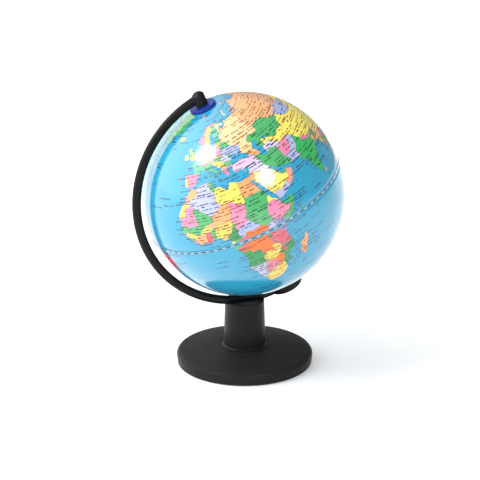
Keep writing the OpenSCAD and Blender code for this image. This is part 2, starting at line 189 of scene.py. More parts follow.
COASTS = """
-5.9,35.8 -2.9,35.2 -1,35.7 1.5,36.6 5,36.8 8,37 9.8,37.3 11,37 10.2,36 10.8,34.7 10,34 11.1,33.2
13,32.9 15.3,32.2 16,31.2 18,30.4 19.5,30.4 20.1,31.5 20.2,32.4 21.8,32.9 23.2,32.2 25,31.7 27.5,31.1
29.5,30.9 31,31.5 32.3,31.2 34.2,31.3 34.9,29.5 34.2,27.8 32.6,29.9 33.6,27.5 35.5,24 35.5,23 37.2,21
37.4,19 38.6,18 39.5,15.5 41.2,14.6 43.1,12.7 42.8,11.6 43.3,11.4 44.5,10.4 47,11.1 51.2,11.9 51,10.4
50.1,8.2 49,6.2 47.9,4.4 46,2.4 44,1 42.5,-.4 41.5,-1.7 40.2,-2.6 39.6,-4.3 38.8,-6.2 39.4,-6.9
39.4,-8.5 40.4,-10.4 40.6,-12.7 40.7,-15 39.8,-16.4 37,-17.8 34.9,-19.8 35.4,-21.5 35.5,-23.8 33,-25.2
32.8,-26.5 32.5,-28.3 31,-30 30,-31.3 28,-32.9 25.7,-34 22,-34.2 20,-34.8 18.4,-34.2 18.3,-32.7
17.2,-30.4 16.4,-28.6 15.2,-27 14.5,-23 13.9,-21 11.8,-18 11.8,-15.8 13.3,-12.5 13.7,-10.8 13,-9
12.3,-6.1 11.8,-4.8 9.5,-2.5 8.8,-.9 9.4,.4 9.6,2.3 9.8,3.3 9,4.1 8.5,4.7 7,4.4 6,4.3 5,5.8 4.3,6.3
2.5,6.3 1,5.9 -1,5.1 -2,4.8 -4,5.2 -5.9,5 -7.5,4.4 -9.2,5.9 -11.4,6.9 -12.5,7.6 -13.2,8.8 -13.7,9.6
-15,10.9 -16.7,12.3 -16.9,13.3 -17.4,14.7 -16.5,16 -16.2,19 -16.2,20.2 -17,21 -16.9,22 -15.9,23.8
-14.8,25.6 -14.4,26.3 -12.9,27.9 -11.3,28.4 -10,29.5 -9.7,31.3 -9.2,32.5 -7.5,33.6 -6.2,34.9;
49.3,-12 50.4,-15.5 49.7,-16 49.3,-18.2 47.8,-22 47.1,-24.8 45.2,-25.5 43.8,-24.4 43.3,-22 44.4,-20
44,-17.5 44.5,-16.2 46.4,-15.7 48,-13.8;
34.2,31.3 35,32.8 35.9,34.8 35.8,36.2 36.2,36.8 34.5,36.7 32.5,36.1 30.6,36.8 29,36.4 27.4,36.8
26.3,38.3 26.8,39.5 26.2,40.1 29,41 31.4,41.3 33.4,42 35.2,42.1 36.4,41.2 38.5,41 41.5,41.5 41.5,42.6
39,43.9 37.5,44.7 37,45.3 38.2,46.8 39.2,47.2 36.5,46.6 35,46.2 35.5,45.4 36.5,45.3 35.4,44.9 33.6,44.4
32.5,45.4 33.6,46.1 31.8,46.6 30.7,46.4 29.7,45.3 28.6,43.9 27.9,43.2 27.6,42.4 28.1,41.6 29,41.2
27.5,41 26.2,40.6 24,40.8 23.4,40.2 22.6,40.5 23.3,39.2 24,38 22.9,37.4 22.8,36.5 21.7,36.9 21.2,37.8
21,38.4 19.4,40.4 19.5,41.8 17.6,42.9 15.2,44.2 14.5,45.2 13.6,45.5 12.4,45.4 12.3,44.3 13.6,43.5
14.2,42.4 16,41.9 18.4,40.1 17,40.5 16.5,39.7 17.1,39 16.1,37.9 15.7,38.2 16,39 15.2,40 13.8,41.2
12.2,41.8 10.5,42.9 10,44 8.8,44.4 7.5,43.8 6,43.1 4,43.5 3.1,43.1 3.2,42 .7,40.8 -.3,39.4 .1,38.7
-.7,37.7 -2.1,36.8 -4.5,36.7 -5.5,36 -6.4,36.8 -8.9,37 -9.4,38.7 -8.8,41 -8.9,42.8 -8,43.7 -4,43.4
-1.8,43.4 -1.3,44.6 -1.2,46 -2.5,47.4 -4.6,48.1 -3,48.8 -1.6,48.7 -1.7,49.7 .2,49.6 1.6,50.7 3.5,51.5
4.8,53 7,53.5 8.6,53.9 8.2,56 8.2,57 10.5,57.7 10.9,56.4 9.7,55.3 10.8,54.2 12.5,54.4 14.2,53.9 17,54.6
18.7,54.5 19.9,54.6 21,55.5 21.1,57 22.6,57.7 24.2,57.2 23.5,58.8 26,59.5 29.5,59.9 30.1,60.1 27,60.5
23,59.9 21.3,60.9 21.5,63 24.5,64.9 24.1,65.8 22,65.6 21,64.3 17.5,62.2 17.2,60.7 18.8,60 16.7,58.6
16.4,56.8 14.5,55.5 12.9,55.6 11.3,58.8 10.6,59.6 8.2,58.1 5.6,58.8 5.1,60.5 5.2,62 8.5,63.5 10.5,64.5
12.5,66 14.5,68 18,69.6 21.5,70.2 25.7,71.1 31,70.3 29,69.8 33,69.4 37,68.5 41,67.2 40.8,66.4 38,66
34,66.7 33,66.5 34.8,64.4 38,63.9 37.3,65 40,64.6 40.8,65.2 42,66.4 44,66.1 43.5,68.6 46,68.2 46.5,66.9
48.5,67.7 53.5,68.9 54,68.2 60,68.7 61,69.8 65,69.2 68,68.3 67,69.6 66.9,71 68.5,71.9 69.4,72.9
72.6,72.8 72,70.8 72.6,68.9 73.6,68 71.3,66.3 72.4,66.3 74,67.8 74.8,69 73.8,70.3 74.3,71.8 76.8,72.2
80.5,71.8 80.5,73.6 86,73.9 87,75.1 93,76 100,76.4 104.4,77.7 107,76.6 113.5,75.8 112,74.5 109,73.9
113,73.9 118.8,73.1 123.5,73 127,73.2 128.5,71.8 130,70.9 133.5,71.7 139.9,71.6 140.5,72.6 146,72.4
151,71.4 157.5,71 160.9,69.5 168,69.7 170.5,69.1 176,69.8 180,69 180,65.1 178,64.6 177.5,62.6 174.7,61.8
170.3,60 164,59.8 162,58.2 163.3,56.2 161.7,55.1 160,53.2 158.4,53 156.7,51 155.6,54 156,57 161.9,60.4
163.7,61.9 160,61.8 156.7,61.5 154.3,59.8 151,59.2 142.5,59.2 138,57 135.3,54.7 138.5,54 141.3,53
140.5,50.5 140.2,48.3 138.3,46.4 135.8,44.4 133,42.8 130.8,42.5 129.7,41.2 127.5,39.8 127.4,39.2
129.2,37.2 129.4,35.5 127.4,34.5 126.3,34.7 126.6,36.9 125,38 125.3,39.5 124.2,39.9 121.5,38.9 122,40.6
120.8,40.5 118,39.2 119,37.3 122.5,37.4 120.3,36 119.2,34.9 120.6,33.3 121.9,31.5 120.9,30.3 122,29.5
121.5,28 119.8,25.6 118,24.4 116.5,23 114,22.3 110.5,21.3 109.9,20.4 108.3,21.6 106.7,20.6 105.7,19
107.6,16.5 109.2,13.5 109.2,11.6 107,10.4 105.2,8.7 104.9,10.2 103,11 102.3,12.2 101,12.7 100.6,13.5
100,13.3 99.2,10.3 100.3,8.4 102.1,6.3 103.4,4.5 104.2,1.4 103.4,1.4 101.3,2.9 100.3,5.8 98.3,8 98.6,10
97.6,15 97,17.2 95.4,15.8 94.2,16.2 94.5,18.5 92.4,21 91.8,22.5 90.5,22.6 89,21.8 87,21.3 86.8,20.6
85,19.6 82.3,16.6 80.2,15.6 80.2,13.3 79.8,10.4 78.2,8.9 77.5,8.1 76.3,9.8 74.6,13.9 73.3,17 72.8,19.2
72.6,21.4 70.9,20.7 69,22.2 70.3,22.9 68.6,23.5 67,24.9 64.5,25.2 61.6,25.1 57.8,25.6 57,27 54.6,26.6
52.5,27.5 51,28.8 49.8,30.1 48,30 48.4,28.6 50,26.8 50.8,24.8 51.2,25.9 51.6,24.4 54,24.2 56.2,26.2
56.6,24.3 58.7,23.6 59.8,22.4 57.8,20.2 57.7,18.9 55.2,17.3 52.2,15.7 49,14.2 45,12.8 43.4,12.7
42.7,15.7 41,18.6 39.1,21.3 38.4,23.8 37,25.6 35.5,28 34.9,29.5;
-180,69 -175,67.5 -170,66.1 -173,64.3 -177.5,65.4 -180,65.1;
-5.6,50.1 -3,50.7 1.3,51.2 1.7,52.7 .2,53.2 -1.6,55.2 -2,57.6 -4,57.7 -3.2,58.6 -5,58.5 -5.9,57 -5.1,55
-3.2,54.9 -3,53.4 -4.6,53.2 -4.8,52 -3,51.4;
-6.2,52.2 -6,54.5 -7.5,55.3 -9.9,54.2 -10.3,52 -8,51.7;
-22.5,64 -18.7,63.4 -13.7,65 -16,66.5 -22.3,66.4 -24,65.4;
-73,78.3 -67,80.5 -60,82 -45,82.3 -32,83.6 -22,82.5 -12.5,81.5 -20,79.5 -18.5,76.5 -21.8,74 -22.5,71.8
-26,70.3 -24,69.5 -32,68.1 -38,65.7 -40.5,64.6 -42.5,61 -44.5,60 -48,60.9 -51,63.2 -53.5,66.2 -51,69.5
-54.5,70.8 -56,74 -61,76.1 -68.5,76.1;
11,79 16,76.7 21,78.5 27,80 16,80;
52,71.5 55,70.7 57,71 56,73.5 66,76.5 60,76.3 54,73.5;
95,79.2 105,78.5 99,81 93,80.5;
80,9.6 81.8,7.5 80.5,6 79.8,7.6;
12.5,38 15.1,38.2 15.2,36.8;
8.3,40.8 9.6,41 9.6,39.2 8.5,39;
8.7,42.6 9.5,43 9.5,41.5;
23.6,35.6 26.2,35.3 24.8,34.9;
32.3,35 34,35.6 33.6,34.8;
95.4,5.5 98.2,4 102.5,.5 106,-3 105.5,-5.8 102.3,-4 99,0;
105.4,-6.8 108.5,-6.7 112.7,-6.9 114.4,-8.2 110,-8.1 106.4,-7.4;
109.2,1.8 111.5,2.5 115,5 117,7 119,5.2 117.9,2 118.8,.9 116.3,-3.5 113.5,-3.3 110.2,-2.5;
119.8,.5 121,1.2 125,1.6 121,.4 120.5,-1 123.2,-.8 121.6,-2 122.6,-5.2 121.2,-3.5 120.4,-5.5 119.5,-3.4;
124,-9 127,-8.4 124,-10.2;
131,-.8 134,-.8 135,-3.3 138,-1.7 144.5,-3.9 147.8,-6 147,-7 150.7,-10.4 147,-9.6 143.5,-8.5 142,-9.2
138.8,-8.3 138,-5.6 135,-4.5 133,-4 132.8,-2.8;
120.4,16.2 120.6,18.5 122.2,18.3 121.6,16 124,12.8 120.7,13.8;
122,7.2 123.7,8.6 125.4,9.7 126.5,7.5 125.3,5.8;
120.1,23 121.6,25.3 120.9,22;
108.7,19.2 110.9,20 110,18.4;
129.8,33 131,33.9 131.9,32.8 130.7,31.1;
131,34.3 133,35.5 136,35.8 137,37.3 139.5,38.6 140,40.5 141.4,41.4 142,39.5 140.8,36 139.8,35 138.2,34.6
136.8,34.4 135.8,33.5 135,34.6 132.5,34.2;
140,41.6 140.5,43.3 141.8,45.4 145.4,43.4 143.2,42 141,42.5;
132.5,33.3 134.6,34.2 134.2,33.3 132.9,32.8;
142,46.1 143.5,46.9 142.7,49 144.6,49 143.2,52 142.8,54.3 141.8,53 142,50;
113.7,-22.6 114.2,-26.2 115.7,-31.8 115,-34.2 118,-35 120,-33.9 123.8,-33.9 126,-32.3 131,-31.5
134.2,-32.8 135.6,-34.9 137.8,-32.6 138,-35.5 139.7,-36.9 141,-38.1 143.6,-38.8 146.4,-39 150,-37.5
151.3,-33.6 153,-31 153.5,-28.2 153,-25.3 150.9,-23.4 148.8,-20.3 146.3,-18.9 145.4,-15 143.8,-14.4
142.6,-10.8 141.6,-12.8 141,-17.2 139.3,-17.4 136,-15.2 136.9,-12.2 135,-12 132.6,-11.4 131,-12.3
129.6,-14.9 128,-14.8 126,-14 124,-16 122.2,-18.2 119,-20 116.8,-20.6;
144.7,-40.8 148.3,-40.9 147.9,-43.2 146,-43.5;
172.8,-34.5 175.5,-36.6 178.4,-37.7 176.9,-39.4 175.2,-41.6 173.8,-39.3 174.8,-37;
172.7,-40.6 174.2,-41.6 172.8,-43.7 170.6,-45.9 168.4,-46.6 166.6,-45.9 168.2,-44 171.2,-42.4;
-168,65.6 -162,66.5 -166.5,68.3 -162,70.3 -156.5,71.3 -146,70.1 -137,69 -128.5,70 -124.5,69.8 -115,68.3
-108,68.2 -101,67.8 -94.5,69.5 -94,71.9 -90,69.5 -85.5,69.7 -82,68.5 -82,66.6 -87,65.3 -91,63.5
-94.6,60.8 -94.5,58.5 -92.3,57 -85,55.4 -82.3,55.1 -82.2,52.8 -79.8,51.3 -78.8,52.4 -79.5,54.7 -77,57
-78.5,59 -77.5,62.4 -73.5,62.4 -70,61 -69.5,59 -65.5,58.8 -64.5,60.3 -61.5,57 -57.5,54.5 -56,52.5
-60,50.2 -66,50.1 -69.5,48 -64.8,49 -65,47 -64,46 -61,45.8 -63.5,44.7 -66,43.6 -66.8,44.9 -70,43.7
-70.8,42.6 -70,41.8 -73.8,40.7 -74.8,39 -76,37 -75.7,35.3 -78.5,33.8 -81.2,31.5 -81.2,29.5 -80.1,26.8
-80.8,25.2 -82.8,28 -84,30 -86,30.4 -89.4,30.2 -90,29.2 -94,29.6 -97.2,27.8 -97.7,24 -97.3,21 -96.3,19.2
-94.4,18.2 -92,18.6 -90.5,20.5 -87,21.5 -87.7,18.4 -88.3,16 -84,15.8 -83.2,14.9 -83.7,11.2 -81.5,8.9
-79.6,9.6 -77.4,8.5 -77.9,7.3 -80.3,8.3 -80.4,7.4 -83,8.3 -85.8,10.3 -87.6,12.9 -92,14.4 -94.8,16.2
-99.8,16.8 -105.3,19.8 -105.5,22.2 -109.2,25.8 -112.9,30.2 -114.8,31.6 -113.2,29 -110.3,24.2 -109.5,23
-112,24.7 -115.5,29.6 -117.2,32.6 -120.6,34.6 -123.7,38.9 -124.3,42.5 -124,46.3 -124.7,48.3 -122.6,47.4
-123,49 -127.5,51 -130.2,54.5 -133.6,58.4 -139.5,59.6 -145,60.4 -150,59.6 -151.5,61 -153.8,59.2
-158,56.5 -164.5,54.7 -161,55.8 -157.5,58.6 -162,58.8 -165.5,61.6 -164.6,63 -161,63.8 -161.2,64.5
-166.4,64.6;
-77.4,8.5 -75.6,10.6 -71.7,12.3 -71.3,11 -70,12 -68,10.6 -64.8,10.1 -62,10.7 -60,8.3 -57,6 -54,5.8
-51.6,4.4 -50,1.5 -50,-.2 -47.5,-.7 -44.2,-2.6 -40,-2.9 -37.3,-4.8 -35.2,-5.6 -34.8,-8 -37,-11 -39,-13.5
-39,-17.5 -40.8,-21.5 -42,-22.9 -45,-23.5 -48.2,-25.8 -48.7,-28.4 -51,-31.5 -53.5,-34 -56,-34.9
-58.4,-34 -57.3,-36.3 -58,-38.2 -62.2,-38.9 -65,-41 -63.7,-42.5 -65.5,-44.8 -67.3,-46 -65.8,-47.9
-69,-50.8 -68.5,-52.3 -65.2,-54.7 -68.5,-55.4 -73,-53.5 -75.4,-50 -75.6,-46.7 -73,-44 -73.7,-39.8
-73.3,-37.2 -71.6,-33 -71.4,-29.5 -70.3,-25.5 -70.2,-19.8 -71.4,-17.7 -76.2,-13.9 -78,-10.2 -79.8,-7.2
-81.3,-4.8 -80.3,-3.3 -81,-2.2 -80,.7 -78.7,1.8 -77.3,4 -77.6,6.8;
-84.9,21.9 -82.5,23.1 -79.5,22.8 -74.2,20.2 -77.6,19.9 -78,21 -82,22.3;
-74.4,18.5 -73,19.9 -69.9,19.7 -68.4,18.6 -71.5,17.8;
-78.3,18.3 -76.3,18.1 -77.5,17.8;
-62,66 -64.5,63 -72,64.4 -78,64.6 -73,67.5 -78,70 -88,73.5 -81,73.7 -72,71.3 -67.5,69.5;
-117,69 -105,68.8 -101.5,70 -105,73 -114,73 -117.5,71.2;
-125.5,72 -120,71.4 -116.5,73.2 -121,74.4;
-77,76.5 -89,76.4 -81,78.5 -90,81 -71,83 -62,82.4 -75,79;
-79.8,75 -92,76.3 -96,76.6 -90,74.6;
-117,75.5 -105.5,75 -108,76.7 -116,76.5;
-59.3,47.7 -55.5,51.5 -53,48.5 -53.2,46.7;
-85,63.2 -80.2,63.8 -84,65.9;
-180,-78.3 -165,-78.4 -157,-77 -145,-75.5 -130,-74.2 -110,-74.9 -100,-73 -88,-73 -75,-73.3 -68,-68
-60,-63.5 -57,-63.3 -62,-66 -61,-71 -62,-75 -75,-78 -60,-81 -40,-78 -27,-76.3 -15,-72.3 0,-70.2 15,-70
33,-68.6 50,-67 57,-66.6 70,-68.5 73,-69.8 80,-67.8 95,-66.5 110,-66.4 125,-66.3 140,-66.8 150,-68.5
163,-70.5 170,-71.5 166,-75 163.5,-77.8 180,-78.3 180,-87.5 -180,-87.5;
"""
LAKES = """
49,46 51.5,46.8 53,46.8 52.9,45.3 50.9,44.5 51.2,43.2 52.6,42.4 53,41.5 54.3,41.3 53.3,40.8 53.2,39.5
53.9,37.3 51.5,36.7 49.5,37.5 48.9,38.7 49.4,40.3 47.5,43 46.7,44.4;
58.5,45.8 61,46.2 60.5,44 58.5,43.8;
31.9,-.8 33,.3 34.2,-.2 33.6,-2.4 31.8,-2.2;
29.2,-3.6 29.7,-4.4 31,-8.6 30.3,-7.4;
34,-9.8 34.6,-10.4 35,-13.6 34.4,-12.2;
103.8,51.6 106,52.4 109.6,55.4 108.6,55.4 105.6,52.8;
30.2,61 32.6,60.6 31.6,61.4;
-92,46.8 -88.5,48.8 -84.8,46.6 -88,46.6;
-87.8,42 -86.4,42.2 -85.2,45.8 -87.6,44.6;
-84.4,46 -80,45.2 -82.4,43.2 -83.6,44.6;
-83.2,41.6 -79,42.8 -81.4,41.6;
-79.6,43.4 -76.4,44 -77.6,43.4;
-124,66 -118,66.6 -122,65;
-116,61.2 -110,62.6 -113,60.8;
"""
